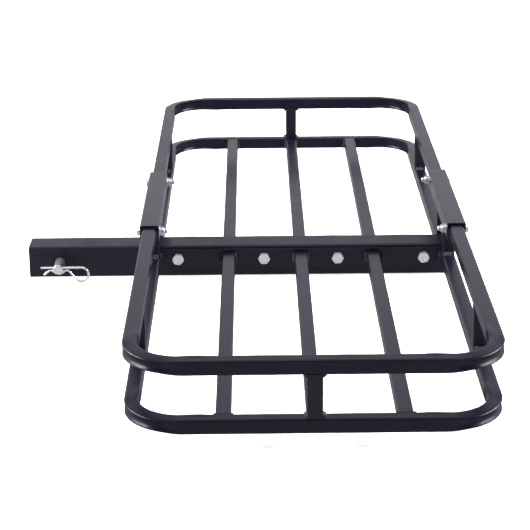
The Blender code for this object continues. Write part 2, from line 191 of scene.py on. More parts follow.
def remap(tree, value, low, high, to_low, to_high):
    inputs = {"Value": value, "From Min": low, "From Max": high, "To Min": to_low, "To Max": to_high}
    return add_node(tree, "ShaderNodeMapRange", inputs).outputs["Result"]


def mix_colour(tree, share, first, second, blend="MIX"):
    node = add_node(tree, "ShaderNodeMix", data_type="RGBA", blend_type=blend)
    for socket, value in ((node.inputs[0], share), (node.inputs[6], first), (node.inputs[7], second)):
        if isinstance(value, bpy.types.NodeSocket):
            tree.links.new(value, socket)
        else:
            socket.default_value = value
    return node.outputs[2]


def maths(tree, operation, first, second):
    node = add_node(tree, "ShaderNodeMath", {0: first, 1: second}, operation=operation)
    return node.outputs[0]


def stretched(tree, coordinates, scale):
    inputs = {"Vector": coordinates, "Scale": scale}
    return add_node(tree, "ShaderNodeMapping", inputs).outputs["Vector"]


def powder_coat(name, peel=TUBE_PEEL, shine=TUBE_SHINE):
    """Satin black powder coat: orange peel, draw lines of the tube showing through, and worn edges."""
    material, tree, shader = new_material(name)
    coordinates = add_node(tree, "ShaderNodeTexCoord")
    place, along = coordinates.outputs["Object"], coordinates.outputs["UV"]
    streaks = noise(tree, stretched(tree, along, (9, 900, 1)), 1.0, 4.0, 0.6)
    cloud = noise(tree, place, 22.0, 4.0, 0.55)
    speck = noise(tree, place, 420.0, 2.0, 0.6)
    grain = noise(tree, place, 1100.0, 2.0, 0.5)
    edge = remap(tree, add_node(tree, "ShaderNodeNewGeometry").outputs["Pointiness"], 0.52, 0.62, 0.0, 1.0)

    clouded = remap(tree, cloud, 0.3, 0.7, 0.0, 1.0)
    shade = mix_colour(tree, clouded, COAT_DARK, COAT_LIGHT)
    shade = mix_colour(tree, remap(tree, streaks, 0.35, 0.75, 0.0, 0.4), shade, COAT_LINE)
    shade = mix_colour(tree, remap(tree, speck, 0.62, 0.75, 0.0, 0.5), shade, COAT_SPECK)
    shade = mix_colour(tree, maths(tree, "MULTIPLY", edge, 0.35), shade, COAT_WORN)
    tree.links.new(shade, shader.inputs["Base Color"])

    rough = remap(tree, streaks, 0.3, 0.7, 0.26, 0.32)
    rough = maths(tree, "ADD", rough, remap(tree, cloud, 0.3, 0.7, -0.03, 0.04))
    rough = maths(tree, "ADD", rough, remap(tree, speck, 0.6, 0.75, 0.0, 0.08))
    tree.links.new(rough, shader.inputs["Roughness"])
    shader.inputs["Specular IOR Level"].default_value = shine
    shader.inputs["Anisotropic"].default_value = 0.6
    shader.inputs["Anisotropic Rotation"].default_value = 0.25
    tangent = add_node(tree, "ShaderNodeTangent", direction_type="UV_MAP").outputs["Tangent"]
    tree.links.new(tangent, shader.inputs["Tangent"])

    relief = maths(tree, "ADD", maths(tree, "MULTIPLY", grain, 0.5), maths(tree, "MULTIPLY", speck, 0.5))
    relief = maths(tree, "ADD", relief, maths(tree, "MULTIPLY", streaks, 0.22))
    bump = add_node(tree, "ShaderNodeBump", {"Height": relief, "Strength": peel, "Distance": 0.06 * MM})
    tree.links.new(bump.outputs["Normal"], shader.inputs["Normal"])
    return material


def zinc(name, tint, rough_low, rough_high, relief_strength):
    """Bright zinc plate: a cold sheen with faint clouds, small pits and fine handling marks."""
    material, tree, shader = new_material(name)
    coordinates = add_node(tree, "ShaderNodeTexCoord")
    place = coordinates.outputs["Object"]
    cloud = noise(tree, place, 160.0, 4.0, 0.6)
    pits = noise(tree, place, 900.0, 3.0, 0.6)
    marks = noise(tree, stretched(tree, place, (300, 1500, 700)), 1.0, 3.0, 0.6)
    dull = tuple(0.84 * value for value in tint)
    shade = mix_colour(tree, remap(tree, cloud, 0.3, 0.72, 0.0, 1.0), (*tint, 1), (*dull, 1))
    shade = mix_colour(tree, remap(tree, pits, 0.62, 0.8, 0.0, 0.2), shade, ZINC_PIT)
    tree.links.new(shade, shader.inputs["Base Color"])
    rough = remap(tree, cloud, 0.3, 0.7, rough_low, rough_high)
    rough = maths(tree, "ADD", rough, remap(tree, marks, 0.55, 0.75, 0.0, 0.12))
    tree.links.new(rough, shader.inputs["Roughness"])
    shader.inputs["Metallic"].default_value = 0.9
    relief = maths(tree, "ADD", maths(tree, "MULTIPLY", pits, 0.6), maths(tree, "MULTIPLY", marks, 0.4))
    inputs = {"Height": relief, "Strength": relief_strength, "Distance": 0.05 * MM}
    bump = add_node(tree, "ShaderNodeBump", inputs)
    tree.links.new(bump.outputs["Normal"], shader.inputs["Normal"])
    return material


def floor_material():
    material, tree, shader = new_material("studio_floor")
    place = add_node(tree, "ShaderNodeTexCoord").outputs["Object"]
    cloud = noise(tree, place, 1.5, 2.0, 0.5)
    shade = mix_colour(tree, cloud, (0.90, 0.90, 0.90, 1), (0.93, 0.93, 0.93, 1))
    tree.links.new(shade, shader.inputs["Base Color"])
    tree.links.new(shade, shader.inputs["Emission Color"])
    shader.inputs["Emission Strength"].default_value = FLOOR_GLOW
    shader.inputs["Roughness"].default_value = 0.9
    shader.inputs["Specular IOR Level"].default_value = 0.0
    return material


# ------------------------------------------------------------------------------------------- mesh helpers

def smooth(share):
    """0 to 1 with level ends, clamped."""
    share = max(0.0, min(1.0, share))
    return share * share * (3 - 2 * share)


def loft(shape, rings, closed=False):
    """Skin rings of equal length. UVs run in metres: along the rings' middles, and round each ring."""
    layer = shape.loops.layers.uv.verify()
    rows = [[shape.verts.new(point) for point in ring] for ring in rings]
    count = len(rows[0])
    if closed:
        rows.append(rows[0])
        rings = list(rings) + [rings[0]]
    middles = [sum(ring, Vector()) / count for ring in rings]
    along = [0.0]
    for before, after in zip(middles, middles[1:]):
        along.append(along[-1] + (after - before).length)
    first = rings[0]
    around = [0.0]
    for k in range(count):
        around.append(around[-1] + (first[(k + 1) % count] - first[k]).length)
    for i in range(len(rows) - 1):
        low, high = rows[i], rows[i + 1]
        for k in range(count):
            after = (k + 1) % count
            face = shape.faces.new((low[k], low[after], high[after], high[k]))
            corners = ((i, k), (i, k + 1), (i + 1, k + 1), (i + 1, k))
            for loop, (row, column) in zip(face.loops, corners):
                loop[layer].uv = (along[row], around[column])
    if not closed:
        shape.faces.new(list(reversed(rows[0])))
        shape.faces.new(rows[-1])


def finished_mesh(name, shape, material, sharp_from=35):
    """A mesh with its faces pointing out, shaded smooth but for edges that turn by more than some degrees."""
    bmesh.ops.recalc_face_normals(shape, faces=shape.faces)
    mesh = bpy.data.meshes.new(name)
    shape.to_mesh(mesh)
    shape.free()
    mesh.shade_smooth()
    mesh.set_sharp_from_angle(angle=radians(sharp_from))
    mesh.materials.append(material)
    return mesh


def add_piece(name, mesh, nodes=(), body="carrier", place=None):
    """Put a mesh in the scene, hang it on its body and let it stand for its CAD nodes."""
    piece = bpy.data.objects.new(name, mesh)
    bpy.context.scene.collection.objects.link(piece)
    if place is not None:
        piece.matrix_world = place
    even = piece.modifiers.new("even_shading", "WEIGHTED_NORMAL")
    even.keep_sharp = True
    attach(piece, body)
    if nodes:
        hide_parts(*nodes)
    return piece


def circle(radius, steps=ROUND_STEPS):
    return [(radius * cos(2 * pi * k / steps), radius * sin(2 * pi * k / steps)) for k in range(steps)]


def rounded_square(width, radius, corner_steps=5, side_steps=1):
    """Outline of a square section, anticlockwise, with its sides cut into steps."""
    corners = []
    flat = width / 2 - radius
    for quarter in range(4):
        turn = quarter * pi / 2
        centre = (flat * cos(turn) + flat * sin(turn), flat * sin(turn) - flat * cos(turn))
        arc = []
        for step in range(corner_steps + 1):
            angle = turn - pi / 2 + step / corner_steps * pi / 2
            arc.append((centre[0] + radius * cos(angle), centre[1] + radius * sin(angle)))
        corners.append(arc)
    points = []
    for quarter, arc in enumerate(corners):
        points += arc
        start, end = arc[-1], corners[(quarter + 1) % 4][0]
        for step in range(1, side_steps):
            share = step / side_steps
            points.append((start[0] + (end[0] - start[0]) * share, start[1] + (end[1] - start[1]) * share))
    return points


def ring_at(station, outline, ahead=0.0):
    """A section's outline at a station (origin, side, up), moved some way ahead along the route."""
    origin, side, up = station
    centre = origin + side.cross(up) * ahead
    return [centre + side * a + up * b for a, b in outline]


def flat_route(start, heading, moves, arc_step):
    """Points and headings of a flat route. A move is a straight length, or an arc's (radius, degrees)."""
    x, y = start
    angle = radians(heading)
    route = [((x, y), angle)]
    for move in moves:
        if not isinstance(move, tuple):
            x += move * cos(angle)
            y += move * sin(angle)
            route.append(((x, y), angle))
            continue
        radius, degrees = move
        side = 1 if degrees > 0 else -1
        centre_x = x - side * radius * sin(angle)
        centre_y = y + side * radius * cos(angle)
        count = max(2, round(abs(degrees) / arc_step))
        begin = angle
        for step in range(1, count + 1):
            angle = begin + radians(degrees) * step / count
            x = centre_x + side * radius * sin(angle)
            y = centre_y - side * radius * cos(angle)
            route.append(((x, y), angle))
    return route


def stations_on(route, origin, axis_x, axis_y):
    """Place a flat route in space: its x runs along axis_x and its y along axis_y."""
    normal = axis_x.cross(axis_y)
    stations = []
    for (x, y), angle in route:
        side = axis_y * cos(angle) - axis_x * sin(angle)
        stations.append((origin + axis_x * x + axis_y * y, side, normal))
    return stations


def skin_tube(shape, stations, outer, inner, edge_outline, shapers=None):
    """Open-ended tube along stations, its cut ends softened. Each station may have a function to shape it."""
    last = len(stations) - 1
    shapers = shapers or [list] * len(stations)
    rings = [ring_at(stations[0], edge_outline)]
    for number, station in enumerate(stations):
        ahead = CUT_EDGE if number == 0 else -CUT_EDGE if number == last else 0.0
        rings.append(ring_at(station, shapers[number](outer), ahead))
    rings.append(ring_at(stations[-1], edge_outline))
    for number in range(last, -1, -1):
        rings.append(ring_at(stations[number], shapers[number](inner)))
    loft(shape, rings, closed=True)


def tube_outlines(width, wall, corner, side_steps=1):
    inner_corner = max(corner - wall, 0.8 * MM)
    outer = rounded_square(width, corner, side_steps=side_steps)
    inner = rounded_square(width - 2 * wall, inner_corner, side_steps=side_steps)
    edge = rounded_square(width - 2 * CUT_EDGE, corner - CUT_EDGE, side_steps=side_steps)
    return outer, inner, edge


def boxed_tube(shape, node, axis, reach=0.0, wall=TUBE_WALL, corner=TUBE_CORNER):
    """Straight tube in a CAD node's box along an axis, reaching a little past both ends."""
    low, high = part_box(node)
    middle = (low + high) / 2
    length = (high - low).dot(axis) + 2 * reach
    width = (high - low).dot(X if axis is not X else Y)
    side = Y if axis is X else X
    up = axis.cross(side)
    stations = [(middle + axis * length * share, side, up) for share in (-0.5, 0.5)]
    skin_tube(shape, stations, *tube_outlines(width, wall, corner))


def cut_round(piece, name, centre, axis, diameter, depth):
    """Cut a round hole in a piece and keep the result as its mesh."""
    shape = bmesh.new()
    outline = circle(diameter / 2)
    loft(shape, [[Vector((x, y, z)) for x, y in outline] for z in (-depth / 2, depth / 2)])
    cutter = bpy.data.objects.new(name, finished_mesh(name, shape, piece.data.materials[0]))
    bpy.context.scene.collection.objects.link(cutter)
    cutter.matrix_world = Matrix.Translation(centre) @ Z.rotation_difference(axis).to_matrix().to_4x4()
    hole = piece.modifiers.new(name, "BOOLEAN")
    hole.operation = "DIFFERENCE"
    hole.solver = "EXACT"
    hole.object = cutter
    bpy.context.view_layer.update()
    evaluated = piece.evaluated_get(bpy.context.evaluated_depsgraph_get())
    drilled = bpy.data.meshes.new_from_object(evaluated)
    piece.modifiers.remove(hole)
    bpy.data.objects.remove(cutter)
    drilled.set_sharp_from_angle(angle=radians(35))
    piece.data = drilled


# ------------------------------------------------------------------------------------------------- basket

def crushed(outline, share):
    """A rail's section at a share of its way round a bend."""
    half = TUBE / 2
    from_end = min(share, 1 - share)
    groove = smooth((from_end - GROOVE_START) / GROOVE_RAMP)
    squeeze = exp(-((from_end - SQUEEZE_PLACE) / SQUEEZE_SPREAD) ** 2)
    bulge = exp(-((from_end - BULGE_PLACE) / BULGE_SPREAD) ** 2)
    shaped = []
    for a, b in outline:
        outward = (half - a) / TUBE         # 0 at the inner wall, 1 at the outer wall
        rim = smooth((half - abs(b)) / GROOVE_RIM)
        inward = smooth(1 - outward * 1.6)
        sink = GROOVE_DEPTH * groove * rim * smooth(outward * 2 - 1)
        hollow = INNER_DEPTH * smooth((from_end - INNER_START) / INNER_RAMP)
        hollow *= smooth((half - abs(b)) / INNER_RIM)
        push = inward * (hollow + SQUEEZE_DEPTH * squeeze * (0.45 + 0.55 * rim))
        rise = BULGE_HEIGHT * bulge * inward - EDGE_DROP * groove * outward ** 1.5
        shaped.append((a + sink - push, b * (1 + rise / half)))
    return shaped


def rail_shapers(route):
    """For each point of a rail's route, the function that shapes the section there."""
    arc = BEND_RADIUS * pi / 2
    travel = [0.0]
    for (before, _), (after, _) in zip(route, route[1:]):
        travel.append(travel[-1] + hypot(after[0] - before[0], after[1] - before[1]))
    bends = []
    for number in range(1, len(route)):
        turning = route[number][1] != route[number - 1][1]
        was_turning = number > 1 and route[number - 1][1] != route[number - 2][1]
        if turning and not was_turning:
            bends.append(travel[number - 1])
    shapers = []
    for distance in travel:
        shares = [(distance - start) / arc for start in bends]
        near = [share for share in shares if -BEND_REACH <= share <= 1 + BEND_REACH]
        shapers.append(partial(crushed, share=near[0]) if near else list)
    return shapers


def make_rail(name, side, paint):
    """U-shaped rail: two legs along Y and an end across, with crushed corners."""
    low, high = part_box(name)
    rail_x = high.x - TUBE / 2
    end_y = max(abs(low.y), abs(high.y)) - TUBE / 2
    start_y = min(abs(low.y), abs(high.y))
    level = (low.z + high.z) / 2
    approach = BEND_REACH * BEND_RADIUS * pi / 2
    leg = end_y - BEND_RADIUS - start_y - approach
    across = 2 * (rail_x - BEND_RADIUS - approach)
    steps = (approach / APPROACH_STEPS,) * APPROACH_STEPS
    bend = (*steps, (BEND_RADIUS, 90), *steps)
    route = flat_route((-rail_x, -start_y), -90, (leg, *bend, across, *bend, leg), BEND_STEP)
    stations = stations_on(route, Z * level, X, Y * -side)
    outlines = tube_outlines(TUBE, TUBE_WALL, TUBE_CORNER, side_steps=10)
    shape = bmesh.new()
    skin_tube(shape, stations, *outlines, rail_shapers(route))
    add_piece(f"{name}_tube", finished_mesh(name, shape, paint), [name])


def make_straight_tube(node, axis, paint):
    shape = bmesh.new()
    boxed_tube(shape, node, axis, SEAT)
    add_piece(f"{node}_tube", finished_mesh(node, shape, paint), [node])


def make_plate(half, paint):
    """Flat bar with softened edges against the drawbar."""
    node = f"{half}_mounting_plate"
    low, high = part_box(node)
    middle, size = (low + high) / 2, high - low + Vector((2 * SEAT, 0, 0))
    block = Matrix.Translation(middle) @ Matrix.Diagonal((*size, 1))
    shape = bmesh.new()
    bmesh.ops.create_cube(shape, size=1, matrix=block, calc_uvs=True)
    bmesh.ops.bevel(shape, geom=shape.edges[:], offset=PLATE_EDGE, segments=3, affect="EDGES")
    add_piece(f"{node}_bar", finished_mesh(node, shape, paint, 40), [node])


def make_drawbar(paint):
    low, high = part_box("drawbar")
    shape = bmesh.new()
    boxed_tube(shape, "drawbar", X, 0.0, DRAWBAR_WALL, DRAWBAR_CORNER)
    bar = add_piece("drawbar_tube", finished_mesh("drawbar", shape, paint), ["drawbar"])
    centre = pin_centre()
    centre.y = 0
    cut_round(bar, "cut_pin_hole", centre, Y, PIN_HOLE, (high.y - low.y) * 1.2)


def channel_outline(width, height, wall, corner, edge, steps=5):
    """Section of a channel that opens downwards, its top at height 0, drawn in by an edge all round."""
    def quarter(side, radius, begin, turn):
        angles = [begin + turn * step / steps * pi / 2 for step in range(steps + 1)]
        return [(side * (width / 2 - corner) + radius * cos(angle), radius * sin(angle) - corner)
                for angle in angles]

    outer = corner - edge
    inner = corner - wall + edge
    points = [(-width / 2 + edge, -height + edge)]
    points += quarter(-1, outer, pi, -1)
    points += quarter(1, outer, pi / 2, -1)
    points += [(width / 2 - edge, -height + edge), (width / 2 - wall + edge, -height + edge)]
    points += quarter(1, inner, 0, 1)
    points += quarter(-1, inner, pi / 2, 1)
    points.append((-width / 2 + wall - edge, -height + edge))
    return points


def make_sleeve(place, paint):
    """Pressed channel over the ends of the two upper rails on one long side."""
    node = f"{place}_sleeve"
    low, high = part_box(node)
    width, height = high.x - low.x, high.z - low.z
    whole = channel_outline(width, height, SLEEVE_WALL, SLEEVE_CORNER, 0.0)
    drawn_in = channel_outline(width, height, SLEEVE_WALL, SLEEVE_CORNER, CUT_EDGE)
    middle_x = (low.x + high.x) / 2
    rows = ((low.y, drawn_in), (low.y + CUT_EDGE, whole), (high.y - CUT_EDGE, whole), (high.y, drawn_in))
    shape = bmesh.new()
    loft(shape, [[Vector((middle_x + x, y, high.z + z)) for x, z in outline] for y, outline in rows])
    add_piece(f"{node}_channel", finished_mesh(node, shape, paint), [node])


# -------------------------------------------------------------------------------------------------- welds

def weld(shape, start, end, wall_a, wall_b, leg, dice):
    """Fillet bead along a corner. The walls' directions point away from the corner, along each surface."""
    path = end - start
    length = path.length
    forward = path / length
    count = max(8, round(length / WELD_RIPPLE * WELD_SAMPLES))
    drift = [dice.uniform(-1, 1) for _ in range(6)]
    rings = []
    for step in range(count + 1):
        travel = step / count * length
        share = travel / length
        ripple = abs(sin(pi * travel / WELD_RIPPLE + drift[0]))
        wander = 0.06 * drift[1] * sin(2 * pi * share + drift[2])
        wander += 0.05 * drift[3] * sin(5 * pi * share + drift[4])
        from_end = min(travel, length - travel) / (leg * 0.7)
        cap = sqrt(max(0.0, 1 - (1 - min(1.0, from_end)) ** 2))
        size = leg * (0.94 + 0.10 * ripple + wander) * max(cap, 0.6)
        bulge = 0.03 + 0.09 * ripple
        centre = start + forward * travel
        ring = [centre - (wall_a + wall_b) * WELD_ROOT]
        for k in range(WELD_ARC + 1):
            t = k / WELD_ARC
            out = sin(pi * t) * bulge
            point = wall_a * (1 - t + out) + wall_b * (t + out)
            lag = forward * sin(pi * t) * WELD_RIPPLE * WELD_LAG
            ring.append(centre + point * size - (wall_a + wall_b) * WELD_SINK + lag)
        rings.append(ring)
    loft(shape, rings)


def make_welds(half, paint):
    """Fillet beads of one half: beside each post, beside each slat's ends and at the plate's ends."""
    dice = Random(half)
    plate_low, plate_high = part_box(f"{half}_mounting_plate")
    outward = Y * HALVES[half]
    rail_low, rail_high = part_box(f"{half}_lower_rail")
    inside_x = rail_high.x - TUBE
    plate_face = max(abs(plate_low.y), abs(plate_high.y))
    end_face = max(abs(rail_low.y), abs(rail_high.y)) - TUBE

    shape = bmesh.new()
    for place in ("front", "middle", "rear"):
        low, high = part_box(f"{half}_{place}_slat")
        for side, x in ((-X, low.x), (X, high.x)):
            for y, away in ((plate_face, outward), (end_face, -outward)):
                top = Vector((x, y * HALVES[half], high.z - WELD_INSET))
                bottom = Vector((x, y * HALVES[half], low.z + WELD_INSET))
                weld(shape, bottom, top, side, away, WELD_LEG, dice)
    add_piece(f"{half}_slat_welds", finished_mesh("slat_welds", shape, paint, 60))

    shape = bmesh.new()
    for place in ("end", "front_inner", "front_outer", "rear_inner", "rear_outer"):
        low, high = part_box(f"{half}_{place}_post")
        along, across = (X, Y) if place == "end" else (Y, X)
        middle = (low + high) / 2
        reach = across * (TUBE / 2 - POST_WELD_INSET)
        for side in (-1, 1):
            for level, up in ((low.z - CAD_GAP, Z), (high.z + CAD_GAP, -Z)):
                corner = middle + along * side * TUBE / 2
                corner.z = level
                weld(shape, corner - reach, corner + reach, along * side, up, WELD_LEG, dice)
    add_piece(f"{half}_post_welds", finished_mesh("post_welds", shape, paint, 60))

    shape = bmesh.new()
    for side in (-1, 1):
        corner = Vector((side * inside_x, plate_face * HALVES[half], 0))
        bottom, top = corner + Z * (rail_low.z + WELD_INSET), corner + Z * (rail_high.z - WELD_INSET)
        weld(shape, bottom, top, -X * side, outward, WELD_LEG * 0.9, dice)
    add_piece(f"{half}_plate_welds", finished_mesh("plate_welds", shape, paint, 60))


# ----------------------------------------------------------------------------------------------- fasteners

def hexagon(flats, corner_round=0.35 * MM, steps=ROUND_STEPS):
    """Radius of a hexagon at equal angles, with a slightly rounded corner at angle 0."""
    limit = flats / 2 / cos(pi / 6) - corner_round
    radii = []
    for k in range(steps):
        off_flat = (2 * pi * k / steps) % (pi / 3) - pi / 6
        radii.append(min(limit, flats / 2 / cos(off_flat)))
    return radii


def polar_ring(radii, heights):
    count = len(radii)
    return [Vector((radii[k] * cos(2 * pi * k / count), radii[k] * sin(2 * pi * k / count), heights[k]))
            for k in range(count)]


def level_ring(radius, height, steps=ROUND_STEPS):
    return polar_ring([radius] * steps, [height] * steps)


def chamfered(radii, round_radius, level, way):
    """Heights of a hexagon's edge where a cone trims its corners."""
    return [level - way * max(0.0, radius - round_radius) * tan(radians(HEX_CHAMFER)) for radius in radii]


def thread_rings(size, bottom, top, tip_chamfer):
    """Rings of a screw thread, from the top down, with a chamfered tip."""
    radius, pitch = size["thread"] / 2, size["pitch"]
    depth = 0.6 * pitch
    count = max(4, round((top - bottom) / pitch * 6))
    rings = []
    for step in range(count + 1):
        z = top + (bottom - top) * step / count
        radii = []
        for k in range(ROUND_STEPS):
            turn = (z / pitch - k / ROUND_STEPS) % 1.0
            cut = depth * smooth(1 - abs(2 * turn - 1) * 1.15)
            radii.append(min(radius - cut, radius - tip_chamfer + (z - bottom)))
        rings.append(polar_ring(radii, [z] * ROUND_STEPS))
    return rings


def bolt_mesh(name, size, length, threaded, metal):
    """Hex bolt. The underside of its head is at height 0 and its thread runs down."""
    flats, head, radius = size["flats"], size["head"], size["thread"] / 2
    radii = hexagon(flats)
    rim = flats * HEX_RIM
    washer_face = 0.35 * MM
    rings = list(reversed(thread_rings(size, -length, -length + threaded, THREAD_TIP)))
    rings += [level_ring(radius, -length + threaded + 0.4 * MM), level_ring(radius, -0.3 * MM),
              level_ring(radius + 0.3 * MM, 0), level_ring(rim, 0), level_ring(rim, washer_face),
              polar_ring(radii, chamfered(radii, rim + 1.1 * MM, washer_face, -1)),
              polar_ring(radii, chamfered(radii, rim, head - 0.15 * MM, 1)),
              level_ring(rim, head - 0.05 * MM), level_ring(rim - 0.4 * MM, head),
              level_ring(flats * 0.33, head), level_ring(flats * 0.29, head - 0.25 * MM),
              level_ring(flats * 0.04, head - 0.32 * MM)]
    shape = bmesh.new()
    loft(shape, rings)
    return finished_mesh(name, shape, metal, 30)


def nut_mesh(name, size, metal):
    """Hex nut that stands on height 0."""
    flats, height = size["flats"], size["nut"]
    radii = hexagon(flats)
    rim, bore = flats * HEX_RIM, size["thread"] / 2
    rings = [level_ring(bore + 0.6 * MM, 0), level_ring(rim, 0),
             polar_ring(radii, chamfered(radii, rim, 0.15 * MM, -1)),
             polar_ring(radii, chamfered(radii, rim, height - 0.15 * MM, 1)),
             level_ring(rim, height), level_ring(bore + 0.6 * MM, height),
             level_ring(bore - 0.2 * MM, height - 0.8 * MM), level_ring(bore - 0.2 * MM, 0.8 * MM)]
    shape = bmesh.new()
    loft(shape, rings, closed=True)
    return finished_mesh(name, shape, metal, 30)


def lock_nut_mesh(name, size, metal):
    """Hex nut whose outer end is a rounded collar."""
    flats, height = size["flats"], size["nut"]
    radii = hexagon(flats)
    rim, bore = flats * HEX_RIM, size["thread"] / 2
    hex_top = height * 0.72
    collar = flats * 0.445
    rings = [level_ring(bore + 0.6 * MM, 0), level_ring(rim, 0),
             polar_ring(radii, chamfered(radii, rim, 0.15 * MM, -1)),
             polar_ring(radii, chamfered(radii, rim, hex_top, 1)), level_ring(collar, hex_top)]
    for step in range(5):
        angle = step / 4 * pi / 2
        rings.append(level_ring(collar - 1.3 * MM * (1 - cos(angle)), height - 1.3 * MM * (1 - sin(angle))))
    rings += [level_ring(bore + 0.2 * MM, height), level_ring(bore - 0.2 * MM, height - 0.5 * MM),
              level_ring(bore - 0.2 * MM, 0.8 * MM)]
    shape = bmesh.new()
    loft(shape, rings, closed=True)
    return finished_mesh(name, shape, metal, 30)


def flat_washer_mesh(name, size, metal):
    bore, rim, thick = size["thread"] / 2 + 0.2 * MM, size["washer"] / 2, size["washer_thick"]
    soft = 0.3 * MM
    rings = [level_ring(bore, 0), level_ring(rim - soft, 0), level_ring(rim, soft),
             level_ring(rim, thick - 2 * soft), level_ring(rim - soft, thick - 0.1 * MM),
             level_ring(rim - 2 * soft, thick), level_ring(bore + soft, thick),
             level_ring(bore, thick - soft)]
    shape = bmesh.new()
    loft(shape, rings, closed=True)
    return finished_mesh(name, shape, metal, 40)


def spring_washer_mesh(name, size, metal):
    """Split ring, nearly flat under its nut, with its split at angle 0."""
    slit, spread = radians(9), 0.25 * MM
    low, high, thick = size["thread"] / 2 + 0.2 * MM, size["washer"] / 2, size["washer_thick"]
    soft = 0.25 * MM
    section = ((low, soft), (low + soft, 0), (high - soft, 0), (high, soft),
               (high, thick - spread - soft), (high - soft, thick - spread), (low + soft, thick - spread),
               (low, thick - spread - soft))
    rings = []
    for step in range(ROUND_STEPS + 1):
        share = step / ROUND_STEPS
        angle = slit / 2 + (2 * pi - slit) * share
        out = X * cos(angle) + Y * sin(angle)
        rings.append([out * radius + Z * (height + spread * share) for radius, height in section])
    shape = bmesh.new()
    loft(shape, rings)
    return finished_mesh(name, shape, metal, 30)


def standing(direction, start, place):
    """Matrix that stands a fastener's +Z along a direction at a place, with its angle 0 towards start."""
    turn = Matrix((start, direction.cross(start), direction)).transposed()
    return Matrix.Translation(place) @ turn.to_4x4()


def make_frame_fasteners(metal):
    """Bolts through the plates and the drawbar: heads on the left, spring washers and nuts on the right."""
    low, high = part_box("frame_bolt_1")
    bolt = bolt_mesh("frame_bolt", M10, high.y - low.y - M10["head"], FRAME_THREAD, metal)
    nut, washer = nut_mesh("frame_nut", M10, metal), spring_washer_mesh("frame_washer", M10, metal)
    for number in range(1, 5):
        node = f"frame_bolt_{number}"
        low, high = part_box(node)
        x, z = (low.x + high.x) / 2, (low.z + high.z) / 2
        tilt = Matrix.Rotation(radians(7 * number - 16), 4, "Z")    # as far as each was tightened
        stand = standing(-Y, X, Vector((x, low.y + M10["head"] + CAD_GAP, z)))
        add_piece(f"{node}_screw", bolt, [node], place=stand @ tilt)
        node = f"frame_spring_washer_{number}"
        stand = standing(Y, Z, Vector((x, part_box(node)[0].y - CAD_GAP, z)))
        add_piece(f"{node}_ring", washer, [node], place=stand @ tilt)
        node = f"frame_nut_{number}"
        stand = standing(Y, X, Vector((x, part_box(node)[0].y - 2 * CAD_GAP, z)))
        add_piece(f"{node}_hex", nut, [node], place=stand @ tilt)


def make_sleeve_fasteners(metal):
    """Bolts through the sleeves and rails: heads outside, washers and lock nuts inside the basket."""
    low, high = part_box("front_left_sleeve_bolt")
    bolt = bolt_mesh("sleeve_bolt", M8, high.x - low.x - M8["head"], SLEEVE_THREAD, metal)
    nut, washer = lock_nut_mesh("sleeve_nut", M8, metal), flat_washer_mesh("sleeve_washer", M8, metal)
    number = 0
    for place, side in SIDES.items():
        outward = X * side
        for half in HALVES:
            number += 1
            name = f"{place}_{half}_sleeve"
            low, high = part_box(f"{name}_bolt")
            y, z = (low.y + high.y) / 2, (low.z + high.z) / 2
            tilt = Matrix.Rotation(radians(9 * number - 20), 4, "Z")
            head_x = side * (max(abs(low.x), abs(high.x)) - M8["head"] - CAD_GAP)
            stand = standing(outward, Z, Vector((head_x, y, z)))
            add_piece(f"{name}_bolt_screw", bolt, [f"{name}_bolt"], place=stand @ tilt)
            low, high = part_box(f"{name}_washer")
            washer_x = side * (max(abs(low.x), abs(high.x)) + CAD_GAP)
            stand = standing(-outward, Z, Vector((washer_x, y, z)))
            add_piece(f"{name}_washer_ring", washer, [f"{name}_washer"], place=stand)
            low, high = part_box(f"{name}_nut")
            nut_x = side * (max(abs(low.x), abs(high.x)) + 2 * CAD_GAP)
            stand = standing(-outward, Z, Vector((nut_x, y, z)))
            add_piece(f"{name}_nut_hex", nut, [f"{name}_nut"], place=stand @ tilt)


# ------------------------------------------------------------------------------------------ pin and clip

def round_ends(stations, outline_at, radius, soft):
    """Rings along stations whose two ends are rounded over."""
    rings = []
    for step in range(4):
        angle = step / 4 * pi / 2
        rings.append(ring_at(stations[0], outline_at(radius - soft * (1 - sin(angle))), -soft * cos(angle)))
    rings += [ring_at(station, outline_at(radius)) for station in stations]
    for step in reversed(range(4)):
        angle = step / 4 * pi / 2
        rings.append(ring_at(stations[-1], outline_at(radius - soft * (1 - sin(angle))), soft * cos(angle)))
    return rings


def pin_centre():
    """Middle of the hitch pin's clip end: x and z of its axis, and the y where it ends."""
    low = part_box("hitch_pin")[0]
    bar_low, bar_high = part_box("drawbar")
    return Vector((low.x + PIN_DIAMETER / 2, low.y, (bar_low.z + bar_high.z) / 2))


def make_hitch_pin(metal):
    """Bent pin: its clip end is on the left, its handle on the right."""
    tip = pin_centre()
    bar_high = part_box("drawbar")[1]
    length = bar_high.y + PIN_PAST_BAR - tip.y
    moves = (length - PIN_CHAMFER, (PIN_BEND_RADIUS, -90), PIN_HANDLE)
    handle_way = Vector((cos(radians(PIN_DROP)), 0, -sin(radians(PIN_DROP))))
    route = flat_route((0, PIN_CHAMFER), 90, moves, 4)
    stations = stations_on(route, tip, handle_way, Y)
    shape = bmesh.new()
    loft(shape, round_ends(stations, circle, PIN_DIAMETER / 2, PIN_CHAMFER))
    mesh = finished_mesh("hitch_pin", shape, metal)
    pin = add_piece("hitch_pin_rod", mesh, ["hitch_pin"], "pin")
    cut_round(pin, "cut_clip_hole", tip + Y * CLIP_SETBACK, X, CLIP_HOLE, PIN_DIAMETER * 1.3)


